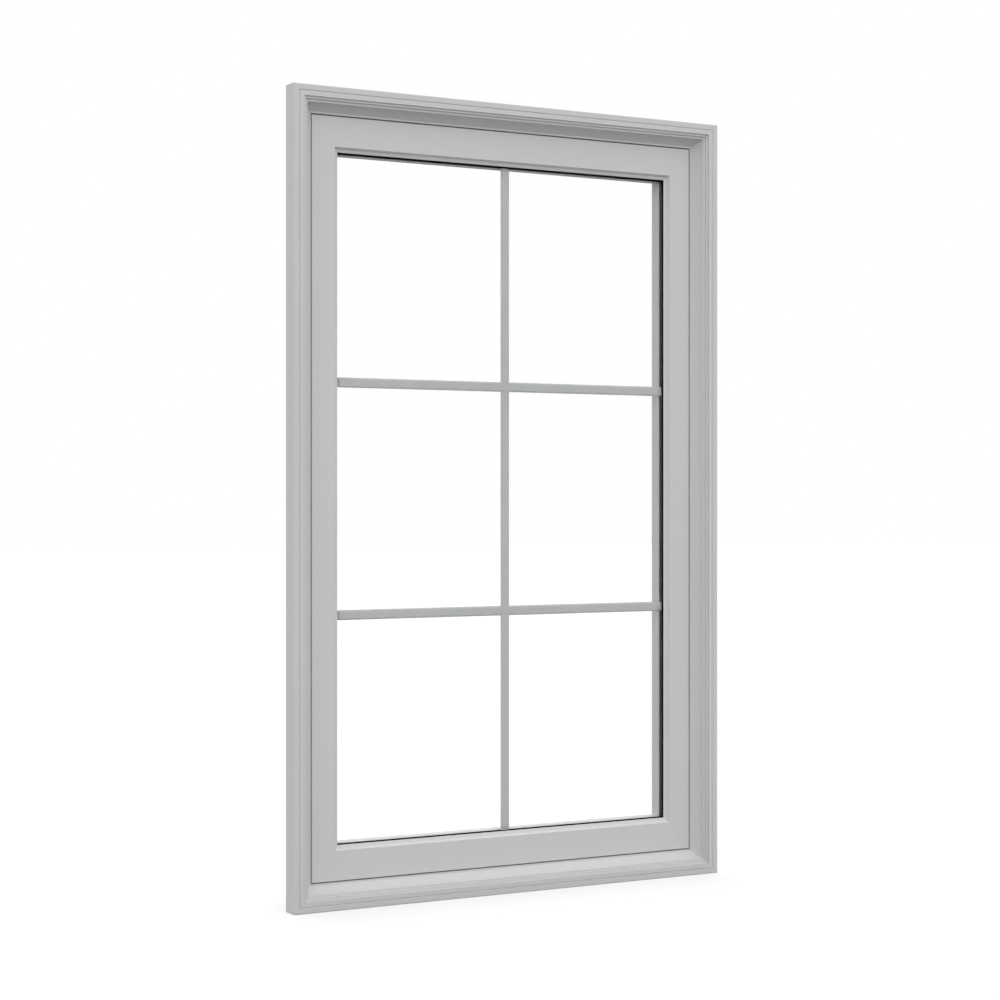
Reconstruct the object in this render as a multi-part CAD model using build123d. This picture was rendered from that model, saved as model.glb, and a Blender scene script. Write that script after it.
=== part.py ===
"""A fixed picture window with a moulded casing on all four sides and a sealed double-glazed unit.

Millimetres. +Z is up, +Y points into the building and -Y out of it, and X runs across the window.
The origin is the middle of the flat underside of the frame's sill.

A section is drawn in its own two axes: the first is the inset, from an outline of the window towards its
middle, and the second is the depth, from the front of the casing towards the building.
"""
import os

from build123d import *

# Frame: the box that fills the opening in the wall.
FRAME_WIDTH = 914.4
FRAME_HEIGHT = 1524.0
FRAME_DEPTH = 82.6
FRAME_STOP = 13.0
FRAME_EASE = 2.0
FRAME_LEAD = 8.0

# Casing: the brickmould that covers the joint between frame and wall on the outside.
CASING_WIDTH = 50.2
CASING_PROJECTION = 38.1
CASING_OVERHANG = 41.3
CASING_CORNER = 2.0
CASING_FLAT = 11.5
QUIRK_WIDTH = 1.4
QUIRK_DEPTH = 1.6
BAND_WIDTH = 9.5
BAND_DROP = 0.2
RISER = 3.7
TREAD_WIDTH = 4.9
TREAD_DROP = 0.1
COVE_WIDTH = 14.4
COVE_HOLLOW = 2.0
CASING_LIP_THICKNESS = 6.1
CASING_REBATE = 1.5
SEALANT_GROOVE = 3.2

# Sash: the glazed panel that is fixed in the frame.
SASH_GAP = 2.4
SASH_CLEARANCE = 0.3
SASH_PROUD = 5.8
SASH_DEPTH = 53.0
SASH_EASE = 0.9
STILE_FACE = 49.7
RAIL_FACE = 59.4

# Glazing lip: the sloped edge of the sash in front of the glass.
LIP_WIDTH = 9.4
LIP_SLOPE_WIDTH = 3.5
LIP_SLOPE_DROP = 6.8
LIP_FACE_DROP = 1.7
LIP_EDGE = 1.8

# Glass unit: two panes, the spacer between them and the tape that beds it.
PANE = 3.1
AIRSPACE = 8.0
GLASS_BITE = 12.7
GLASS_EDGE_ROOM = 3.2
TAPE = 1.6
TAPE_SET_BACK = 0.2
PANE_ROOM = 0.1

# Interior bead: the strip that holds the glass unit from inside.
BEAD_REVEAL = 2.4
BEAD_SLOPE = 2.6
BEAD_NOSE = 3.0
BEAD_FLAT = 5.0
BEAD_COVE = 5.5
BEAD_FLOOR_ROOM = 0.2

# Grille: contoured bars in the middle of the airspace.
BAR_WIDTH = 19.8
BAR_THICKNESS = 5.2
BAR_FLAT = 14.0
BAR_EDGE = 1.0
ROWS = 3
ROW_PITCH = 459.8
KEEPER_LENGTH = 8.5
KEEPER_STEP = 0.5

# Places along the depth, from the front of the casing.
WALL_PLANE = CASING_PROJECTION
FRAME_FRONT = WALL_PLANE - CASING_REBATE
FRAME_BACK = WALL_PLANE + FRAME_DEPTH
SASH_FRONT = WALL_PLANE - SASH_PROUD
SASH_BACK = SASH_FRONT + SASH_DEPTH
LIP_BACK = SASH_FRONT + LIP_SLOPE_DROP + LIP_FACE_DROP + LIP_EDGE
GLASS_FRONT = LIP_BACK + TAPE
AIR_FRONT = GLASS_FRONT + PANE
AIR_BACK = AIR_FRONT + AIRSPACE
GLASS_BACK = AIR_BACK + PANE
BAR_PLANE = (AIR_FRONT + AIR_BACK) / 2

# Outlines: the width and height of each rectangle that a ring of pieces follows.
CASING_OUTLINE = (FRAME_WIDTH + 2 * CASING_OVERHANG, FRAME_HEIGHT + 2 * CASING_OVERHANG)
FRAME_OUTLINE = (FRAME_WIDTH, FRAME_HEIGHT)
SASH_INSET = CASING_WIDTH - CASING_OVERHANG + SASH_GAP
FRAME_WALL = SASH_INSET - SASH_CLEARANCE
SASH_OUTLINE = (FRAME_WIDTH - 2 * SASH_INSET, FRAME_HEIGHT - 2 * SASH_INSET)
SIGHT_OUTLINE = (
    SASH_OUTLINE[0] - 2 * (STILE_FACE + LIP_WIDTH),
    SASH_OUTLINE[1] - 2 * (RAIL_FACE + LIP_WIDTH),
)
POCKET = GLASS_BITE + GLASS_EDGE_ROOM
STILE_WIDTH = STILE_FACE + LIP_WIDTH - POCKET
RAIL_WIDTH = RAIL_FACE + LIP_WIDTH - POCKET

CENTRE_HEIGHT = FRAME_HEIGHT / 2
FRONT = -FRAME_DEPTH / 2 - CASING_PROJECTION
SECTION_PLANE = Plane(origin=(0, 0, 0), x_dir=(0, 0, 1), z_dir=(-1, 0, 0))

# A member is made as the sill is. From each side to the next one is a quarter turn about Y.
SIDES = ("sill", "left", "head", "right")
UPRIGHT_SIDES = ("left", "right")


def run_along(section, length):
    """A straight bar of one section, lying along X with its middle at the origin."""
    return extrude(SECTION_PLANE * section, amount=length / 2, both=True)


def place(bar, outline, side):
    """Turns a bar that lies along X onto one side of an outline."""
    width, height = outline
    reach = width / 2 if side in UPRIGHT_SIDES else height / 2
    turn = Rot(0, 90 * SIDES.index(side), 0)
    return Pos(0, FRONT, CENTRE_HEIGHT) * turn * Pos(0, 0, -reach) * bar


def mitred(section, outline, side):
    """One member of a ring: a section run along one side of an outline and cut at 45 degrees at both ends."""
    width, height = outline
    length = height if side in UPRIGHT_SIDES else width
    outside = max(0, -section.bounding_box().min.X)
    bar = run_along(section, length + 2 * outside)
    for end in (-1, 1):
        cut = Plane(origin=(end * length / 2, 0, 0), z_dir=(-end, 0, -1))
        bar = split(bar, bisect_by=cut, keep=Keep.TOP)
    return place(bar, outline, side)


def rectangle(inset_from, inset_to, depth_from, depth_to):
    """A plain rectangular section between two insets and two depths."""
    return Pos((inset_from + inset_to) / 2, (depth_from + depth_to) / 2) * Rectangle(
        inset_to - inset_from, depth_to - depth_from
    )


def casing_section():
    """The brickmould: a flat, a quirk, a band, two steps, a steep cove and a thin lip beside the sash."""
    band_start = CASING_FLAT + QUIRK_WIDTH
    step = band_start + BAND_WIDTH
    step_foot = BAND_DROP + RISER
    second_step = step + TREAD_WIDTH
    second_foot = step_foot + TREAD_DROP + RISER
    cove_start = second_step + TREAD_WIDTH
    cove_top = second_foot + TREAD_DROP
    cove_foot = cove_start + COVE_WIDTH
    lip = WALL_PLANE - CASING_LIP_THICKNESS
    corner = RadiusArc((0, CASING_CORNER), (CASING_CORNER, 0), -CASING_CORNER)
    steps = Polyline(
        (CASING_CORNER, 0),
        (CASING_FLAT, 0),
        (CASING_FLAT + QUIRK_WIDTH / 2, QUIRK_DEPTH),
        (band_start, BAND_DROP),
        (step, BAND_DROP),
        (step, step_foot),
        (second_step, step_foot + TREAD_DROP),
        (second_step, second_foot),
        (cove_start, cove_top),
    )
    cove = SagittaArc((cove_start, cove_top), (cove_foot, lip), COVE_HOLLOW)
    back = Polyline(
        (cove_foot, lip),
        (CASING_WIDTH, lip),
        (CASING_WIDTH, FRAME_FRONT),
        (CASING_OVERHANG - SEALANT_GROOVE, FRAME_FRONT),
        (CASING_OVERHANG - SEALANT_GROOVE, WALL_PLANE),
        (0, WALL_PLANE),
        (0, CASING_CORNER),
    )
    return make_face(Curve() + [corner, steps, cove, back])


def frame_section():
    """The frame member: a lead-in, the wall around the sash and the stop that the sash rests against."""
    casing_edge = CASING_WIDTH - CASING_OVERHANG
    stop = FRAME_WALL + FRAME_STOP
    return make_face(
        Polyline(
            (0, FRAME_FRONT),
            (casing_edge, FRAME_FRONT),
            (FRAME_WALL, FRAME_FRONT + FRAME_LEAD),
            (FRAME_WALL, SASH_BACK),
            (stop, SASH_BACK),
            (stop, FRAME_BACK - FRAME_EASE),
            (stop - FRAME_EASE, FRAME_BACK),
            (0, FRAME_BACK),
            close=True,
        )
    )


def lip_section():
    """The edge of the sash in front of the glass: a steep slope, then a flatter face."""
    slope_foot = LIP_SLOPE_WIDTH - LIP_WIDTH
    return make_face(
        Polyline(
            (-LIP_WIDTH, SASH_FRONT),
            (slope_foot, SASH_FRONT + LIP_SLOPE_DROP),
            (0, SASH_FRONT + LIP_SLOPE_DROP + LIP_FACE_DROP),
            (0, LIP_BACK),
            (-LIP_WIDTH, LIP_BACK),
            close=True,
        )
    )


def member_section(width):
    """A stile or rail without its lip: the body, and the front leg that reaches as far as the lip."""
    body = rectangle(0, width, SASH_FRONT, SASH_BACK)
    leg = rectangle(width, width + POCKET - LIP_WIDTH, SASH_FRONT, LIP_BACK)
    return body + leg


def bead_section():
    """The interior bead: a slope beside the glass, then a rounded nose, a flat and a cove at the sash."""
    glass_side = GLASS_BACK + PANE_ROOM
    floor = BEAD_FLOOR_ROOM - POCKET
    flat_start = BEAD_REVEAL - BEAD_NOSE
    flat_end = flat_start - BEAD_FLAT
    cove_end = flat_end - BEAD_COVE
    nose = RadiusArc((BEAD_REVEAL, SASH_BACK - BEAD_NOSE), (flat_start, SASH_BACK), -BEAD_NOSE)
    cove = RadiusArc((flat_end, SASH_BACK), (cove_end, SASH_BACK - BEAD_COVE), BEAD_COVE)
    body = Polyline(
        (cove_end, SASH_BACK - BEAD_COVE),
        (floor, SASH_BACK - BEAD_COVE),
        (floor, glass_side),
        (0, glass_side),
        (BEAD_REVEAL, glass_side + BEAD_SLOPE),
        (BEAD_REVEAL, SASH_BACK - BEAD_NOSE),
    )
    return make_face(Curve() + [nose, Line((flat_start, SASH_BACK), (flat_end, SASH_BACK)), cove, body])


def bar_section(step=0):
    """A contoured grille bar: a flat middle on both faces and bevelled flanks, all of it a step smaller."""
    edge, flat = BAR_WIDTH / 2 - step, BAR_FLAT / 2 - step / 2
    thin, thick = BAR_EDGE / 2 - step / 2, BAR_THICKNESS / 2 - step
    half = [(edge, thin), (flat, thick), (-flat, thick), (-edge, thin)]
    return make_face(Polyline(*half, *[(-x, -y) for x, y in half], close=True))


def casing():
    """The four lengths of brickmould."""
    section = casing_section()
    return {"brickmould_" + side: mitred(section, CASING_OUTLINE, side) for side in SIDES}


def frame():
    """The four frame members, welded at their corners."""
    section = frame_section()
    names = {
        "sill": "frame_sill",
        "left": "frame_jamb_left",
        "head": "frame_head",
        "right": "frame_jamb_right",
    }
    return {name: mitred(section, FRAME_OUTLINE, side) for side, name in names.items()}


def eased_member(width, length, ease_ends):
    """A stile or rail along X, with the arris of its outer edge taken off, and of its ends if they show."""
    bar = run_along(member_section(width), length)
    front = bar.faces().sort_by(Axis.Y)[0].edges()
    arrises = [front.sort_by(Axis.Z)[0]]
    if ease_ends:
        arrises += front.filter_by(Axis.Z)
    return fillet(arrises, SASH_EASE)


def sash():
    """Stiles at full height, rails coped between them, and a lip that is mitred where they meet."""
    lip = lip_section()
    width, height = SASH_OUTLINE
    stile = eased_member(STILE_WIDTH, height, ease_ends=True)
    rail = eased_member(RAIL_WIDTH, width - 2 * STILE_WIDTH, ease_ends=False)
    stiles = {side: place(stile, SASH_OUTLINE, side) for side in UPRIGHT_SIDES}
    rails = {side: place(rail, SASH_OUTLINE, side) for side in ("head", "sill")}
    for stile_placed in stiles.values():
        rails = {side: rail_placed - stile_placed for side, rail_placed in rails.items()}
    members = {
        "sash_stile_left": (stiles["left"], "left"),
        "sash_stile_right": (stiles["right"], "right"),
        "sash_top_rail": (rails["head"], "head"),
        "sash_bottom_rail": (rails["sill"], "sill"),
    }
    return {name: body + mitred(lip, SIGHT_OUTLINE, side) for name, (body, side) in members.items()}


def glass_unit():
    """Two panes, the spacer between their edges and the tape that beds the unit on the sash's lip."""
    width, height = SIGHT_OUTLINE
    pane = Box(width + 2 * GLASS_BITE, PANE, height + 2 * GLASS_BITE)
    spacer = rectangle(-GLASS_BITE, 0, AIR_FRONT + PANE_ROOM, AIR_BACK - PANE_ROOM)
    tape = rectangle(-GLASS_BITE, -TAPE_SET_BACK, LIP_BACK, GLASS_FRONT - PANE_ROOM)
    pieces = {
        "outer_pane": Pos(0, FRONT + GLASS_FRONT + PANE / 2, CENTRE_HEIGHT) * pane,
        "inner_pane": Pos(0, FRONT + GLASS_BACK - PANE / 2, CENTRE_HEIGHT) * pane,
    }
    for side in SIDES:
        pieces["spacer_" + side] = mitred(spacer, SIGHT_OUTLINE, side)
        pieces["glazing_tape_" + side] = mitred(tape, SIGHT_OUTLINE, side)
    return pieces


def interior_beads():
    """The four beads that hold the glass unit from inside."""
    section = bead_section()
    return {"interior_bead_" + side: mitred(section, SIGHT_OUTLINE, side) for side in SIDES}


def grille():
    """One upright and the crossbars, half-lapped where they cross, with each end held by its keeper."""
    width, height = SIGHT_OUTLINE
    bar = bar_section()
    keeper = run_along(bar_section(KEEPER_STEP), KEEPER_LENGTH)
    crossbar = run_along(bar, width - 2 * KEEPER_LENGTH)
    upright = Rot(0, 90, 0) * run_along(bar, height - 2 * KEEPER_LENGTH)
    front_half = Pos(0, -BAR_THICKNESS / 2, 0) * Box(2 * BAR_WIDTH, BAR_THICKNESS, 2 * BAR_WIDTH)
    side_reach = (width - KEEPER_LENGTH) / 2
    end_reach = (height - KEEPER_LENGTH) / 2
    pieces = {}
    for name, way in (("top", 1), ("bottom", -1)):
        pieces["keeper_" + name] = Pos(0, 0, way * end_reach) * Rot(0, 90, 0) * keeper
    for row in range(1, ROWS):
        at_row = Pos(0, 0, (ROWS / 2 - row) * ROW_PITCH)
        upright -= at_row * (crossbar - front_half)
        pieces["grille_crossbar_%d" % row] = at_row * crossbar - upright
        for name, way in (("left", -1), ("right", 1)):
            pieces["keeper_%s_%d" % (name, row)] = at_row * Pos(way * side_reach, 0, 0) * keeper
    pieces["grille_upright"] = upright
    middle = Pos(0, FRONT + BAR_PLANE, CENTRE_HEIGHT)
    return {name: middle * piece for name, piece in pieces.items()}


def main():
    """Builds every piece and writes one file for each."""
    os.makedirs("parts", exist_ok=True)
    for assembly in (casing, frame, sash, glass_unit, interior_beads, grille):
        for name, shape in assembly().items():
            shape.label = name
            export_step(shape, "parts/%s.step" % name)


main()
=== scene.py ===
"""Dresses a fixed picture window: eased vinyl members, sealed glass with its edge seals, grille and studio.

Metres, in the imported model's own frame: +Z is up, -Y points out of the building, and the origin is the middle
of the flat underside of the frame's sill.
"""
import logging
import math
from dataclasses import dataclass
from enum import Enum

import bmesh
import bpy
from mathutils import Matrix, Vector


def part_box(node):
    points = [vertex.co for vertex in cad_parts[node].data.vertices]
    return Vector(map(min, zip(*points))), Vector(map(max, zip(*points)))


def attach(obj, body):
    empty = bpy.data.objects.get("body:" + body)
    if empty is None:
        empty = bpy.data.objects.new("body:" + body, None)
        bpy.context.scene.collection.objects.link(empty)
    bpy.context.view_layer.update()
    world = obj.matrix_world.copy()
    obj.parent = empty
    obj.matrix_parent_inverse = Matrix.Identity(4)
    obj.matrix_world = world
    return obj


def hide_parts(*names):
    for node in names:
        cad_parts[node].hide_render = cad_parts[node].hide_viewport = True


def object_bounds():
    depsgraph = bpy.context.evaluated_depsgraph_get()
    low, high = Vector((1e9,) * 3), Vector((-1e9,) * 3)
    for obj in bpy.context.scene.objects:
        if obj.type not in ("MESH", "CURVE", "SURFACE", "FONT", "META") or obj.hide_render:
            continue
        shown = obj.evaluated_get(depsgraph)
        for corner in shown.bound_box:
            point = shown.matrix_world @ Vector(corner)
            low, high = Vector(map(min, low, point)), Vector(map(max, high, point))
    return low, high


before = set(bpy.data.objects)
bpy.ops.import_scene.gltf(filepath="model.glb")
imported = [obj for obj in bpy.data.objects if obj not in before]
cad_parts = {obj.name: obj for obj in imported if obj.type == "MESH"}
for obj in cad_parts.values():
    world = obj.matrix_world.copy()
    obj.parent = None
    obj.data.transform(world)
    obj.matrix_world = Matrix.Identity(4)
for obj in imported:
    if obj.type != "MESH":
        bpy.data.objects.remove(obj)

log = logging.getLogger("picture_window")

Colour = tuple[float, float, float, float]

MM = 0.001
WHITE: Colour = (1.0, 1.0, 1.0, 1.0)
PACKED_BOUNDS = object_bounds()


class Run(Enum):
    """The way an extruded length runs, and so the way its die lines run."""

    ACROSS = "x"
    UPRIGHT = "z"

    @property
    def axis(self) -> Vector:
        """The run as a direction."""
        return Vector((1, 0, 0)) if self is Run.ACROSS else Vector((0, 0, 1))

    def stretch(self, times: float) -> tuple[float, float, float]:
        """The scale that draws a pattern out along the run, to so many times its length."""
        along = 1 / times
        return (along, 1.0, 1.0) if self is Run.ACROSS else (1.0, 1.0, along)


class Side(Enum):
    """A side of the window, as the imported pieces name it."""

    HEAD = "head"
    SILL = "sill"
    LEFT = "left"
    RIGHT = "right"

    @property
    def run(self) -> Run:
        """The way a member on this side runs."""
        return Run.ACROSS if self in (Side.HEAD, Side.SILL) else Run.UPRIGHT


def grey(level: float, green: float = 0.0) -> Colour:
    """A display grey as scene colour.

    Args:
        level: Display level from 0 to 255.
        green: How many levels red lies under green, with blue under it by half as many.

    Returns:
        The linear colour, with full alpha.
    """

    def linear(value: float) -> float:
        """One display level from 0 to 255 as a linear one from 0 to 1, by the sRGB curve."""
        share = value / 255
        return share / 12.92 if share <= 0.04045 else ((share + 0.055) / 1.055) ** 2.4

    return linear(level - green), linear(level), linear(level - green / 2), 1.0


class Channel:
    """A shader socket that takes part in Python expressions, each of which adds its Math node."""

    def __init__(self, tree: "ShaderTree", socket: bpy.types.NodeSocket) -> None:
        """Wraps an output socket of a tree."""
        self.tree = tree
        self.socket = socket

    def _math(self, operation: str, first: "Channel | float", second: "Channel | float") -> "Channel":
        """A Math node on two values.

        Args:
            operation: The Math node's operation.
            first: Its upper value.
            second: Its lower value.

        Returns:
            The node's result.
        """
        return self.tree.node("ShaderNodeMath", {"operation": operation}, {0: first, 1: second})

    def __add__(self, other: "Channel | float") -> "Channel":
        """This value plus another."""
        return self._math("ADD", self, other)

    def __radd__(self, other: float) -> "Channel":
        """A number plus this value."""
        return self._math("ADD", other, self)

    def __sub__(self, other: "Channel | float") -> "Channel":
        """This value less another."""
        return self._math("SUBTRACT", self, other)

    def __rsub__(self, other: float) -> "Channel":
        """A number less this value."""
        return self._math("SUBTRACT", other, self)

    def __mul__(self, other: "Channel | float") -> "Channel":
        """This value times another."""
        return self._math("MULTIPLY", self, other)

    def __rmul__(self, other: float) -> "Channel":
        """A number times this value."""
        return self._math("MULTIPLY", other, self)

    def at_least(self, other: "Channel | float") -> "Channel":
        """The larger of this value and another."""
        return self._math("MAXIMUM", self, other)

    def swing(self, width: float) -> "Channel":
        """This value, which runs from 0 to 1, as a swing of a width about 0."""
        return width * (self - 0.5)


class ShaderTree:
    """The node tree of one material or world, cleared and ready for its nodes."""

    def __init__(self, owner: bpy.types.Material | bpy.types.World) -> None:
        """Empties the owner's tree and adds its output.

        Args:
            owner: The material or world.
        """
        owner.use_nodes = True
        self.nodes = owner.node_tree.nodes
        self.links = owner.node_tree.links
        self.nodes.clear()
        kind = "ShaderNodeOutputWorld" if isinstance(owner, bpy.types.World) else "ShaderNodeOutputMaterial"
        self.output = self.nodes.new(kind)

    def node(
        self,
        kind: str,
        settings: dict[str, object] | None = None,
        inputs: dict[str | int, object] | None = None,
        output: str | int = 0,
    ) -> Channel:
        """Adds a node.

        Args:
            kind: The node's type.
            settings: Its own settings, set before its sockets.
            inputs: A value or a channel for each of its sockets that isn't left as it is.
            output: The socket that is handed back.

        Returns:
            The chosen output.
        """
        made = self.nodes.new(kind)
        for name, value in (settings or {}).items():
            setattr(made, name, value)
        for name, value in (inputs or {}).items():
            if isinstance(value, Channel):
                self.links.new(value.socket, made.inputs[name])
            else:
                made.inputs[name].default_value = value
        return Channel(self, made.outputs[output])

    def place(self, scale: tuple[float, float, float] = (1.0, 1.0, 1.0)) -> Channel:
        """The point on the object, in metres, times a scale along each axis."""
        point = self.node("ShaderNodeTexCoord", output="Object")
        return self.node("ShaderNodeMapping", inputs={"Vector": point, "Scale": scale})

    def noise(self, point: Channel, count: float, detail: float = 2.0, roughness: float = 0.5) -> Channel:
        """A noise from 0 to 1.

        Args:
            point: Where it is read.
            count: How many features it has in a metre.
            detail: How many finer layers it has.
            roughness: How strong the finer layers are.

        Returns:
            The noise's value.
        """
        inputs = {"Vector": point, "Scale": count, "Detail": detail, "Roughness": roughness}
        return self.node("ShaderNodeTexNoise", inputs=inputs)

    def shade(self, colour: Colour, level: Channel) -> Channel:
        """A colour times a level that varies.

        Args:
            colour: The colour at a level of 1.
            level: The level.

        Returns:
            The shaded colour.
        """
        spread = self.node("ShaderNodeCombineXYZ", inputs={0: level, 1: level, 2: level})
        return self.node("ShaderNodeVectorMath", {"operation": "MULTIPLY"}, {0: spread, 1: colour[:3]})

    def bump(self, height: Channel, unit: float = 1.0) -> Channel:
        """A normal from a height.

        Args:
            height: The height.
            unit: What a height of 1 stands for, in metres.

        Returns:
            The bumped normal.
        """
        inputs = {"Strength": 1.0, "Distance": unit, "Height": height}
        return self.node("ShaderNodeBump", inputs=inputs, output="Normal")

    def finish_with(self, shader: Channel) -> None:
        """Links a shader to the output's surface."""
        self.links.new(shader.socket, self.output.inputs["Surface"])

    def finish_solid(self, colour: Channel, roughness: Channel, specular: float, normal: Channel) -> None:
        """Finishes the tree as an opaque surface.

        Args:
            colour: Its base colour.
            roughness: Its roughness.
            specular: How strong its sheen is.
            normal: Its bumped normal.
        """
        inputs = {
            "Base Color": colour,
            "Roughness": roughness,
            "Specular IOR Level": specular,
            "Normal": normal,
        }
        self.finish_with(self.node("ShaderNodeBsdfPrincipled", inputs=inputs))


def new_material(name: str) -> tuple[bpy.types.Material, ShaderTree]:
    """A new material and its empty tree."""
    material = bpy.data.materials.new(name)
    return material, ShaderTree(material)


@dataclass(frozen=True)
class VinylFinish:
    """Extruded vinyl: one colour all through, faint die lines along the run and a fine orange peel.

    Attributes:
        colour: Its colour.
        roughness: Its roughness, about which clouds and die lines swing it.
        specular: How strong its sheen is.
        cloud_count: How many clouds it has in a metre.
        cloud_tone: How far the clouds swing the tone.
        cloud_roughness: How far they swing the roughness.
        line_pitch: How far apart the die lines are.
        line_stretch: How many times longer than wide they are.
        line_tone: How far the die lines swing the tone.
        line_roughness: How far they swing the roughness.
        line_depth: How deep they are.
        peel_pitch: How far apart the dimples of the orange peel are.
        peel_depth: How deep they are.
    """

    colour: Colour = grey(193)
    roughness: float = 0.5
    specular: float = 0.06
    cloud_count: float = 4.0
    cloud_tone: float = 0.016
    cloud_roughness: float = 0.06
    line_pitch: float = 1.6 * MM
    line_stretch: float = 260.0
    line_tone: float = 0.004
    line_roughness: float = 0.10
    line_depth: float = 0.004 * MM
    peel_pitch: float = 1.1 * MM
    peel_depth: float = 0.006 * MM

    def material(self, name: str, run: Run) -> bpy.types.Material:
        """Makes the material of a member.

        Args:
            name: The material's name.
            run: The way the member runs.

        Returns:
            The material.
        """
        material, tree = new_material(name)
        point = tree.place()
        drawn = tree.place(run.stretch(self.line_stretch))
        lines = tree.noise(drawn, 1 / self.line_pitch, detail=3.0, roughness=0.6)
        peel = tree.noise(point, 1 / self.peel_pitch, detail=1.0)
        clouds = tree.noise(point, self.cloud_count, detail=3.0)
        tree.finish_solid(
            tree.shade(self.colour, 1 + clouds.swing(self.cloud_tone) + lines.swing(self.line_tone)),
            self.roughness + clouds.swing(self.cloud_roughness) + lines.swing(self.line_roughness),
            self.specular,
            tree.bump(lines * self.line_depth + peel * self.peel_depth),
        )
        return material


@dataclass(frozen=True)
class GlassFinish:
    """Clear float glass with a faint green cast and a low reflection, stronger at a glance.

    Attributes:
        tint: What the glass lets through.
        gloss: The colour of its reflection.
        index: Its index of refraction for the reflection, low because the photograph shows almost none.
        roughness: How rough it is.
    """

    tint: Colour = (0.998, 1.0, 0.999, 1.0)
    gloss: Colour = WHITE
    index: float = 1.10
    roughness: float = 0.0

    def material(self, name: str) -> bpy.types.Material:
        """Makes the material of a pane.

        Args:
            name: The material's name.

        Returns:
            The material.
        """
        material, tree = new_material(name)
        clear = tree.node("ShaderNodeBsdfTransparent", inputs={"Color": self.tint})
        mirror = tree.node("ShaderNodeBsdfGlossy", inputs={"Color": self.gloss, "Roughness": self.roughness})
        share = tree.node("ShaderNodeFresnel", inputs={"IOR": self.index})
        tree.finish_with(tree.node("ShaderNodeMixShader", inputs={"Fac": share, 1: clear, 2: mirror}))
        return material


@dataclass(frozen=True)
class SealFinish:
    """Black rubbery stuff, tape or butyl sealant: matt, with a fine grain and faint smears.

    Attributes:
        colour: Its colour.
        roughness: Its roughness, about which the grain swings it.
        specular: How strong its sheen is.
        grain_pitch: How far apart the grains are.
        grain_roughness: How far they swing the roughness.
        grain_depth: How deep the grain is.
        smear_count: How many smears it has in a metre.
        smear_tone: How far the smears swing the tone.
    """

    colour: Colour = grey(14)
    roughness: float = 0.62
    specular: float = 0.02
    grain_pitch: float = 0.5 * MM
    grain_roughness: float = 0.15
    grain_depth: float = 0.03 * MM
    smear_count: float = 60.0
    smear_tone: float = 0.4

    def material(self, name: str) -> bpy.types.Material:
        """Makes the material of a seal.

        Args:
            name: The material's name.

        Returns:
            The material.
        """
        material, tree = new_material(name)
        point = tree.place()
        grain = tree.noise(point, 1 / self.grain_pitch, detail=3.0, roughness=0.6)
        smears = tree.noise(point, self.smear_count)
        tree.finish_solid(
            tree.shade(self.colour, 1 + smears.swing(self.smear_tone)),
            self.roughness + grain.swing(self.grain_roughness),
            self.specular,
            tree.bump(grain, self.grain_depth),
        )
        return material


@dataclass(frozen=True)
class SpacerFinish:
    """The spacer's dark grey skin, brushed along its run.

    Attributes:
        colour: Its colour.
        roughness: Its roughness, about which the brushing swings it.
        specular: How strong its sheen is.
        brush_count: How many brush lines it has in a metre.
        brush_stretch: How many times longer than wide they are.
        brush_tone: How far they swing the tone.
        brush_roughness: How far they swing the roughness.
        brush_depth: How deep they are.
    """

    colour: Colour = grey(86)
    roughness: float = 0.6
    specular: float = 0.02
    brush_count: float = 2400.0
    brush_stretch: float = 50.0
    brush_tone: float = 0.04
    brush_roughness: float = 0.06
    brush_depth: float = 0.002 * MM

    def material(self, name: str, run: Run) -> bpy.types.Material:
        """Makes the material of a spacer bar.

        Args:
            name: The material's name.
            run: The way the bar runs.

        Returns:
            The material.
        """
        material, tree = new_material(name)
        brushed = tree.noise(tree.place(run.stretch(self.brush_stretch)), self.brush_count)
        tree.finish_solid(
            tree.shade(self.colour, 1 + brushed.swing(self.brush_tone)),
            self.roughness + brushed.swing(self.brush_roughness),
            self.specular,
            tree.bump(brushed, self.brush_depth),
        )
        return material


@dataclass(frozen=True)
class EnamelFinish:
    """Baked enamel on the rolled bars: smooth, a little glossier than vinyl, with a fine flow.

    Attributes:
        colour: Its colour.
        roughness: Its roughness, about which the clouds swing it.
        specular: How strong its sheen is.
        cloud_count: How many clouds it has in a metre.
        cloud_tone: How far they swing the tone.
        cloud_roughness: How far they swing the roughness.
        flow_pitch: How far apart the waves of the flow are.
        flow_depth: How deep they are.
    """

    colour: Colour = grey(184, 2)
    roughness: float = 0.36
    specular: float = 0.1
    cloud_count: float = 7.0
    cloud_tone: float = 0.02
    cloud_roughness: float = 0.08
    flow_pitch: float = 2.2 * MM
    flow_depth: float = 0.012 * MM

    def material(self, name: str) -> bpy.types.Material:
        """Makes the material of a bar or a keeper.

        Args:
            name: The material's name.

        Returns:
            The material.
        """
        material, tree = new_material(name)
        point = tree.place()
        flow = tree.noise(point, 1 / self.flow_pitch, detail=1.0)
        clouds = tree.noise(point, self.cloud_count)
        tree.finish_solid(
            tree.shade(self.colour, 1 + clouds.swing(self.cloud_tone)),
            self.roughness + clouds.swing(self.cloud_roughness),
            self.specular,
            tree.bump(flow, self.flow_depth),
        )
        return material


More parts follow.
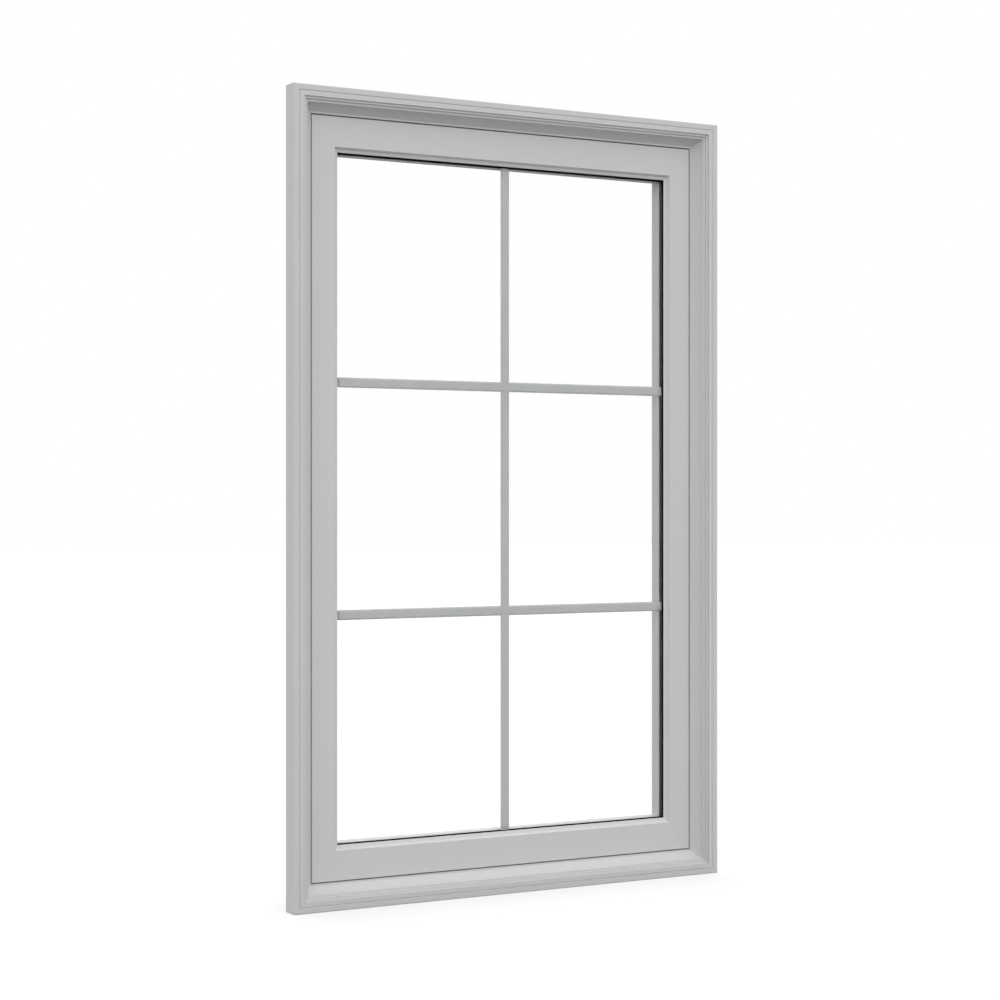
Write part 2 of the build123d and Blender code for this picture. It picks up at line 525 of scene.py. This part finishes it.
class SubAssembly:
    """What each sub-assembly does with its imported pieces: eases their arrises, dresses and reports them.

    Attributes:
        body: The body that the window's pieces ride on.
        ease: How wide a rounded arris is.
        facets: How many facets it has.
        same_corner: How near to each other two corners are one.
        flat_angle: The angle up to which two faces are one flat.
        arris_angle: The angle over which an edge is an arris.
        shortest_arris: The length up to which an edge is left alone.
        parallel: The cosine over which an edge follows the run.
        smooth_angle: The angle up to which shading is smooth.
    """

    body: str = "root"
    ease: float = 0.2 * MM
    facets: int = 2
    same_corner: float = 0.005 * MM
    flat_angle: float = math.radians(0.5)
    arris_angle: float = math.radians(24)
    shortest_arris: float = 40 * MM
    parallel: float = 0.999
    smooth_angle: float = math.radians(40)

    def settle(self, piece: bpy.types.Object, slot: str, material: bpy.types.Material) -> None:
        """Gives a new piece its finish and its body, and reports it.

        Args:
            piece: The piece, in place.
            slot: Not used.
            material: Its finish.
        """
        piece.data.materials.clear()
        piece.data.materials.append(material)
        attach(piece, self.body)
        log.info("%s: %d faces", piece.name, len(piece.data.polygons))

    def dress(self, node: str, material: bpy.types.Material) -> None:
        """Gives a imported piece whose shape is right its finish, and reports it.

        Args:
            node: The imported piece.
            material: Its finish.
        """
        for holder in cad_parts[node].material_slots:
            holder.material = material
        log.info("%s: dressed as packed", node)

    def select_arrises(self, piece: bpy.types.Object, run: Run) -> None:
        """Selects the arrises that follow a member's run, and none of those at its joints.

        Args:
            piece: The member, in edit mode.
            run: The way it runs.
        """
        shape = bmesh.from_edit_mesh(piece.data)
        for edge in shape.edges:
            way = edge.verts[1].co - edge.verts[0].co
            along = way.length > self.shortest_arris and abs(way.normalized().dot(run.axis)) > self.parallel
            edge.select_set(along and edge.calc_face_angle(0.0) > self.arris_angle)
        shape.select_flush_mode()
        bmesh.update_edit_mesh(piece.data)

    def eased(self, node: str, run: Run) -> bpy.types.Object:
        """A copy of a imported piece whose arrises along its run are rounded, to stand for it.

        Args:
            node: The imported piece.
            run: The way the piece runs.

        Returns:
            The new piece, which has no finish yet.
        """
        piece = bpy.data.objects.new(node + ".eased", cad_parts[node].data.copy())
        bpy.context.scene.collection.objects.link(piece)
        bpy.ops.object.select_all(action="DESELECT")
        piece.select_set(True)
        bpy.context.view_layer.objects.active = piece
        bpy.ops.mesh.customdata_custom_splitnormals_clear()
        bpy.ops.object.mode_set(mode="EDIT")
        bpy.ops.mesh.select_mode(type="VERT")
        bpy.ops.mesh.select_all(action="SELECT")
        bpy.ops.mesh.remove_doubles(threshold=self.same_corner)
        bpy.ops.mesh.dissolve_limited(angle_limit=self.flat_angle)
        bpy.ops.mesh.select_all(action="DESELECT")
        bpy.ops.mesh.select_mode(type="EDGE")
        self.select_arrises(piece, run)
        bpy.ops.mesh.bevel(offset=self.ease, segments=self.facets, affect="EDGES", clamp_overlap=True)
        bpy.ops.mesh.select_all(action="SELECT")
        bpy.ops.mesh.dissolve_degenerate(threshold=self.same_corner)
        bpy.ops.object.mode_set(mode="OBJECT")
        bpy.ops.object.shade_smooth_by_angle(angle=self.smooth_angle)
        flats = piece.modifiers.new("flats", "WEIGHTED_NORMAL")
        flats.keep_sharp = True
        bpy.ops.object.modifier_apply(modifier=flats.name)
        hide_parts(node)
        return piece


@dataclass
class VinylRing(SubAssembly):
    """Four lengths of one vinyl section around the window.

    Attributes:
        label: What their finishes are named for.
        nodes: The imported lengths, in the order of Side.
        finish: Their vinyl.
    """

    label: str
    nodes: tuple[str, str, str, str]
    finish: VinylFinish = VinylFinish()

    def build(self) -> None:
        """Eases and dresses the four lengths."""
        for side, node in zip(Side, self.nodes):
            piece = self.eased(node, side.run)
            self.settle(piece, "vinyl", self.finish.material(f"{self.label} vinyl {side.value}", side.run))


@dataclass
class Casing(VinylRing):
    """The brickmould: four mitred lengths around the frame."""

    label: str = "casing"
    nodes: tuple[str, str, str, str] = (
        "brickmould_head",
        "brickmould_sill",
        "brickmould_left",
        "brickmould_right",
    )


@dataclass
class Frame(VinylRing):
    """The four welded frame members."""

    label: str = "frame"
    nodes: tuple[str, str, str, str] = ("frame_head", "frame_sill", "frame_jamb_left", "frame_jamb_right")


@dataclass
class Sash(VinylRing):
    """The fixed sash: two stiles and two rails, of the casing's vinyl painted a shade lighter as painted light.
    """

    label: str = "sash"
    nodes: tuple[str, str, str, str] = (
        "sash_top_rail",
        "sash_bottom_rail",
        "sash_stile_left",
        "sash_stile_right",
    )
    # Painted light: the same vinyl as the casing's, a shade lighter so that the sash reads as lit more evenly.
    finish: VinylFinish = VinylFinish(colour=grey(196))


@dataclass
class InteriorBeads(VinylRing):
    """The four beads that hold the glass from inside, of the casing's vinyl painted a shade darker, which
    stands in for the light the glass keeps from them (painted shade).
    """

    label: str = "bead"
    nodes: tuple[str, str, str, str] = (
        "interior_bead_head",
        "interior_bead_sill",
        "interior_bead_left",
        "interior_bead_right",
    )
    # Painted shade: the same vinyl as the casing's, a shade darker for the light lost behind the glass.
    finish: VinylFinish = VinylFinish(colour=grey(191))


@dataclass
class GlassUnit(SubAssembly):
    """Two panes, the spacer between them, its black sealant and the tape outside them.

    Attributes:
        seal_air: The hair's breadth that the sealant keeps from pane and spacer.
        line_width: How far the sealant stands out past the spacer.
        line_depth: How deep that line is.
        painted_head_shade: How much further it comes down at the head, a black band that stands in for the
            shade under the head (painted shade).
        near_corner: How near a corner lies to the place where it is looked for.
        near_level: How near a face lies to its level.
        glass: The panes' finish.
        seal: The finish of tape and sealant.
        spacer: The spacer's finish.
    """

    seal_air: float = 0.01 * MM
    line_width: float = 1.0 * MM
    line_depth: float = 1.0 * MM
    painted_head_shade: float = 1.4 * MM
    near_corner: float = 0.1 * MM
    near_level: float = 0.001 * MM
    glass: GlassFinish = GlassFinish()
    seal: SealFinish = SealFinish()
    spacer: SpacerFinish = SpacerFinish()

    def build(self) -> None:
        """Dresses panes, spacers and tapes, and lays the sealant against each pane."""
        pane = self.glass.material("float glass")
        for node in ("outer_pane", "inner_pane"):
            self.dress(node, pane)
        tape = self.seal.material("glazing tape")
        for side in Side:
            self.dress("glazing_tape_" + side.value, tape)
            self.dress("spacer_" + side.value, self.spacer.material("spacer skin " + side.value, side.run))
        sealant = self.seal.material("butyl sealant")
        for name, pane_face, spacer_face in (
            ("butyl_outer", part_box("outer_pane")[1].y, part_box("spacer_head")[0].y),
            ("butyl_inner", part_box("inner_pane")[0].y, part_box("spacer_head")[1].y),
        ):
            self.settle(self.sealant_ring(name, pane_face, spacer_face), "gasket", sealant)

    def flat_ring(
        self, name: str, middle: Vector, size: tuple[float, float], shoulder: float
    ) -> bpy.types.Object:
        """A flat ring that stands upright: a border, the line inside it, and an opening.

        Args:
            name: The piece's name.
            middle: The middle of the opening.
            size: The ring's width and height outside.
            shoulder: How wide its border is.

        Returns:
            The ring, in edit mode, with its border and its line as faces of their own.
        """
        width, height = size
        bpy.ops.object.select_all(action="DESELECT")
        bpy.ops.mesh.primitive_plane_add(size=width, location=middle, rotation=(math.radians(90), 0, 0))
        ring = bpy.context.object
        ring.name = ring.data.name = name
        bpy.ops.object.transform_apply(location=True, rotation=True, scale=True)
        bpy.ops.object.mode_set(mode="EDIT")
        bpy.ops.mesh.select_mode(type="FACE")
        bpy.ops.transform.resize(value=(1, 1, height / width), center_override=middle)
        bpy.ops.mesh.inset(thickness=shoulder)
        bpy.ops.mesh.inset(thickness=self.line_width)
        bpy.ops.mesh.delete(type="FACE")
        return ring

    def extrude(self, depth: float) -> None:
        """Extrudes the selected faces by a depth along Y."""
        bpy.ops.mesh.extrude_region_move(TRANSFORM_OT_translate={"value": (0, depth, 0)})

    def sealant_ring(self, name: str, pane_face: float, spacer_face: float) -> bpy.types.Object:
        """The sealant along one pane: a film between spacer and pane, and the line of it that shows inside.

        Args:
            name: The piece's name.
            pane_face: Where the pane's inner face lies, along Y.
            spacer_face: Where the spacer's face beside it lies.

        Returns:
            The ring, which has no finish yet.
        """
        low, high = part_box("spacer_left")[0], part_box("spacer_right")[1]
        width, height = high.x - low.x, high.z - low.z
        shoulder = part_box("spacer_left")[1].x - low.x + self.seal_air
        sight = (width / 2 - shoulder, height / 2 - shoulder)
        way = math.copysign(1.0, spacer_face - pane_face)
        film = abs(spacer_face - pane_face) - 2 * self.seal_air
        start = pane_face + way * self.seal_air
        middle = Vector((0.0, start, (low.z + high.z) / 2))
        ring = self.flat_ring(name, middle, (width, height), shoulder)
        # Painted shade: the sealant's line is let down further at the head, a black band where the head's
        # underside lies in shade.
        self.select_head(ring, middle.z + sight[1] - self.line_width)
        bpy.ops.transform.translate(value=(0, 0, -self.painted_head_shade))
        bpy.ops.mesh.select_mode(type="FACE")
        bpy.ops.mesh.select_all(action="SELECT")
        self.extrude(way * film)
        self.select_line(ring, middle.z, sight, start + way * film)
        self.extrude(way * (self.line_depth - film))
        bpy.ops.mesh.select_all(action="SELECT")
        bpy.ops.mesh.normals_make_consistent(inside=False)
        bpy.ops.object.mode_set(mode="OBJECT")
        return ring

    def select_head(self, ring: bpy.types.Object, head: float) -> None:
        """Selects the two corners of the opening at its head.

        Args:
            ring: The flat ring, in edit mode.
            head: The height of the opening's head.
        """
        bpy.ops.mesh.select_mode(type="VERT")
        shape = bmesh.from_edit_mesh(ring.data)
        for corner in shape.verts:
            corner.select_set(abs(corner.co.z - head) < self.near_corner)
        shape.select_flush_mode()
        bmesh.update_edit_mesh(ring.data)

    def select_line(
        self, ring: bpy.types.Object, middle: float, sight: tuple[float, float], level: float
    ) -> None:
        """Selects the faces of the line that shows, on the side away from the pane.

        Args:
            ring: The ring, in edit mode.
            middle: The height of its middle.
            sight: Half the width and half the height of the opening inside the spacer.
            level: Where those faces lie along Y.
        """
        shape = bmesh.from_edit_mesh(ring.data)
        for face in shape.faces:
            centre = face.calc_center_median()
            inside = abs(centre.x) < sight[0] and abs(centre.z - middle) < sight[1]
            away = all(abs(corner.co.y - level) < self.near_level for corner in face.verts)
            face.select_set(inside and away)
        shape.select_flush_mode()
        bmesh.update_edit_mesh(ring.data)


@dataclass
class Grille(SubAssembly):
    """The bars between the panes and the keepers at their ends.

    Attributes:
        enamel: The bars' finish.
        keeper: The keepers' finish.
    """

    enamel: EnamelFinish = EnamelFinish()
    keeper: EnamelFinish = EnamelFinish(colour=grey(174, 2), roughness=0.5)

    def build(self) -> None:
        """Eases and dresses the bars, and dresses the keepers."""
        enamel = self.enamel.material("bar enamel")
        plastic = self.keeper.material("keeper plastic")
        for node in sorted(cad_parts):
            if node.startswith("grille_"):
                run = Run.UPRIGHT if node == "grille_upright" else Run.ACROSS
                self.settle(self.eased(node, run), "grille_enamel", enamel)
            elif node.startswith("keeper_"):
                self.dress(node, plastic)


@dataclass(frozen=True)
class Lamp:
    """A very wide, soft light that is the same from top to bottom of the window.

    Attributes:
        name: Its name.
        strength: Its strength.
        comes_from: Where it comes from, as seen from the window's foot.
        spread: How wide it is, in degrees.
    """

    name: str
    strength: float
    comes_from: tuple[float, float, float]
    spread: float = 50.0

    def build(self) -> None:
        """Adds the lamp, turned towards the window."""
        place = Vector(self.comes_from)
        bpy.ops.object.light_add(type="SUN", location=place)
        lamp = bpy.context.object
        lamp.name = self.name
        lamp.data.energy = self.strength
        lamp.data.angle = math.radians(self.spread)
        lamp.rotation_euler = (-place).to_track_quat("-Z", "Y").to_euler()


@dataclass
class Studio:
    """A pale floor, soft lights from the front left and from above behind, and a white surround.

    Attributes:
        floor_reach: How wide the floor is.
        floor_glow: The even white that the floor shows to the eye.
        floor_seen: How much light it adds to that, so that a shadow shows on it.
        floor_lighting: How much light the floor in front of the window gives back to it.
        floor_turn: Half the width of the strip under the window in which that share rises from none.
        horizon_light: How much light the surround gives at the horizon.
        zenith_light: How much it gives from above.
        key: The lamp from the front left.
        rim: The lamp from above behind.
    """

    floor_reach: float = 60.0
    floor_glow: float = 0.62
    floor_seen: float = 0.27
    floor_lighting: float = 0.21
    floor_turn: float = 0.3
    horizon_light: float = 1.40
    zenith_light: float = 1.58
    key: Lamp = Lamp("key", 0.16, (-1.2, -3.0, 1.8))
    rim: Lamp = Lamp("rim", 0.70, (0.4, 2.0, 2.6))

    def stage_mask(self, tree: ShaderTree) -> Channel:
        """What parts the rays that show the studio from those that light the window.

        Args:
            tree: The tree that the mask is for.

        Returns:
            1 for rays that show it, straight or by way of gloss or glass, and 0 for the others.
        """
        seen = tree.node("ShaderNodeLightPath", output="Is Camera Ray")
        glossy = tree.node("ShaderNodeLightPath", output="Is Glossy Ray")
        through = tree.node("ShaderNodeLightPath", output="Is Transmission Ray")
        return seen.at_least(glossy).at_least(through)

    def build_floor(self) -> None:
        """The floor: white to the eye apart from the shadow on it, and it gives back light in front only."""
        bpy.ops.object.select_all(action="DESELECT")
        bpy.ops.mesh.primitive_plane_add(size=self.floor_reach, location=(0, 0, PACKED_BOUNDS[0].z))
        floor = bpy.context.object
        floor.name = "floor"
        material, tree = new_material("pale floor")
        mask = self.stage_mask(tree)
        ahead = tree.node(
            "ShaderNodeMapRange",
            {"interpolation_type": "SMOOTHSTEP"},
            {
                "Value": tree.node("ShaderNodeSeparateXYZ", inputs={0: tree.place()}, output="Y"),
                "From Min": self.floor_turn,
                "From Max": -self.floor_turn,
            },
        )
        level = self.floor_lighting * ahead * (1 - mask) + self.floor_seen * mask
        lit = tree.node("ShaderNodeBsdfDiffuse", inputs={"Color": tree.shade(WHITE, level)})
        glow = tree.node("ShaderNodeEmission", inputs={"Strength": self.floor_glow * mask})
        tree.finish_with(tree.node("ShaderNodeAddShader", inputs={0: lit, 1: glow}))
        floor.data.materials.append(material)

    def build_surround(self) -> None:
        """The white surround, which also gives the even part of the light."""
        world = bpy.data.worlds.new("white surround")
        bpy.context.scene.world = world
        tree = ShaderTree(world)
        mask = self.stage_mask(tree)
        way = tree.node("ShaderNodeTexCoord", output="Generated")
        height = tree.node("ShaderNodeSeparateXYZ", inputs={0: way}, output="Z")
        lighting = self.horizon_light + (self.zenith_light - self.horizon_light) * height.at_least(0.0)
        strength = lighting + (1 - lighting) * mask
        tree.finish_with(tree.node("ShaderNodeBackground", inputs={"Color": WHITE, "Strength": strength}))

    def build(self) -> None:
        """Floor, surround, lamps and the view's colours."""
        self.build_floor()
        self.build_surround()
        self.key.build()
        self.rim.build()
        bpy.context.scene.view_settings.view_transform = "Standard"


@dataclass
class Portrait:
    """The camera at the photograph's place: level, and turned towards the window from its left.

    Attributes:
        place: Where it stands.
        turn: How far it is turned to its right of straight ahead, in degrees.
        lens: Its focal length, in millimetres.
        sensor: The width of its sensor, in millimetres.
    """

    place: tuple[float, float, float] = (-2.3110, -4.0328, 0.7596)
    turn: float = 29.866
    lens: float = 80.87
    sensor: float = 36.0

    def build(self) -> None:
        """Adds the camera."""
        turned = (math.radians(90), 0, -math.radians(self.turn))
        bpy.ops.object.camera_add(location=self.place, rotation=turned)
        camera = bpy.context.object
        camera.name = "portrait"
        camera.data.lens = self.lens
        camera.data.sensor_width = self.sensor
        bpy.context.scene.camera = camera


def main() -> None:
    """Builds the camera, each sub-assembly and the studio."""
    logging.basicConfig(level=logging.INFO)
    for part in (Portrait(), Casing(), Frame(), Sash(), GlassUnit(), InteriorBeads(), Grille(), Studio()):
        part.build()


if __name__ == "__main__":
    main()
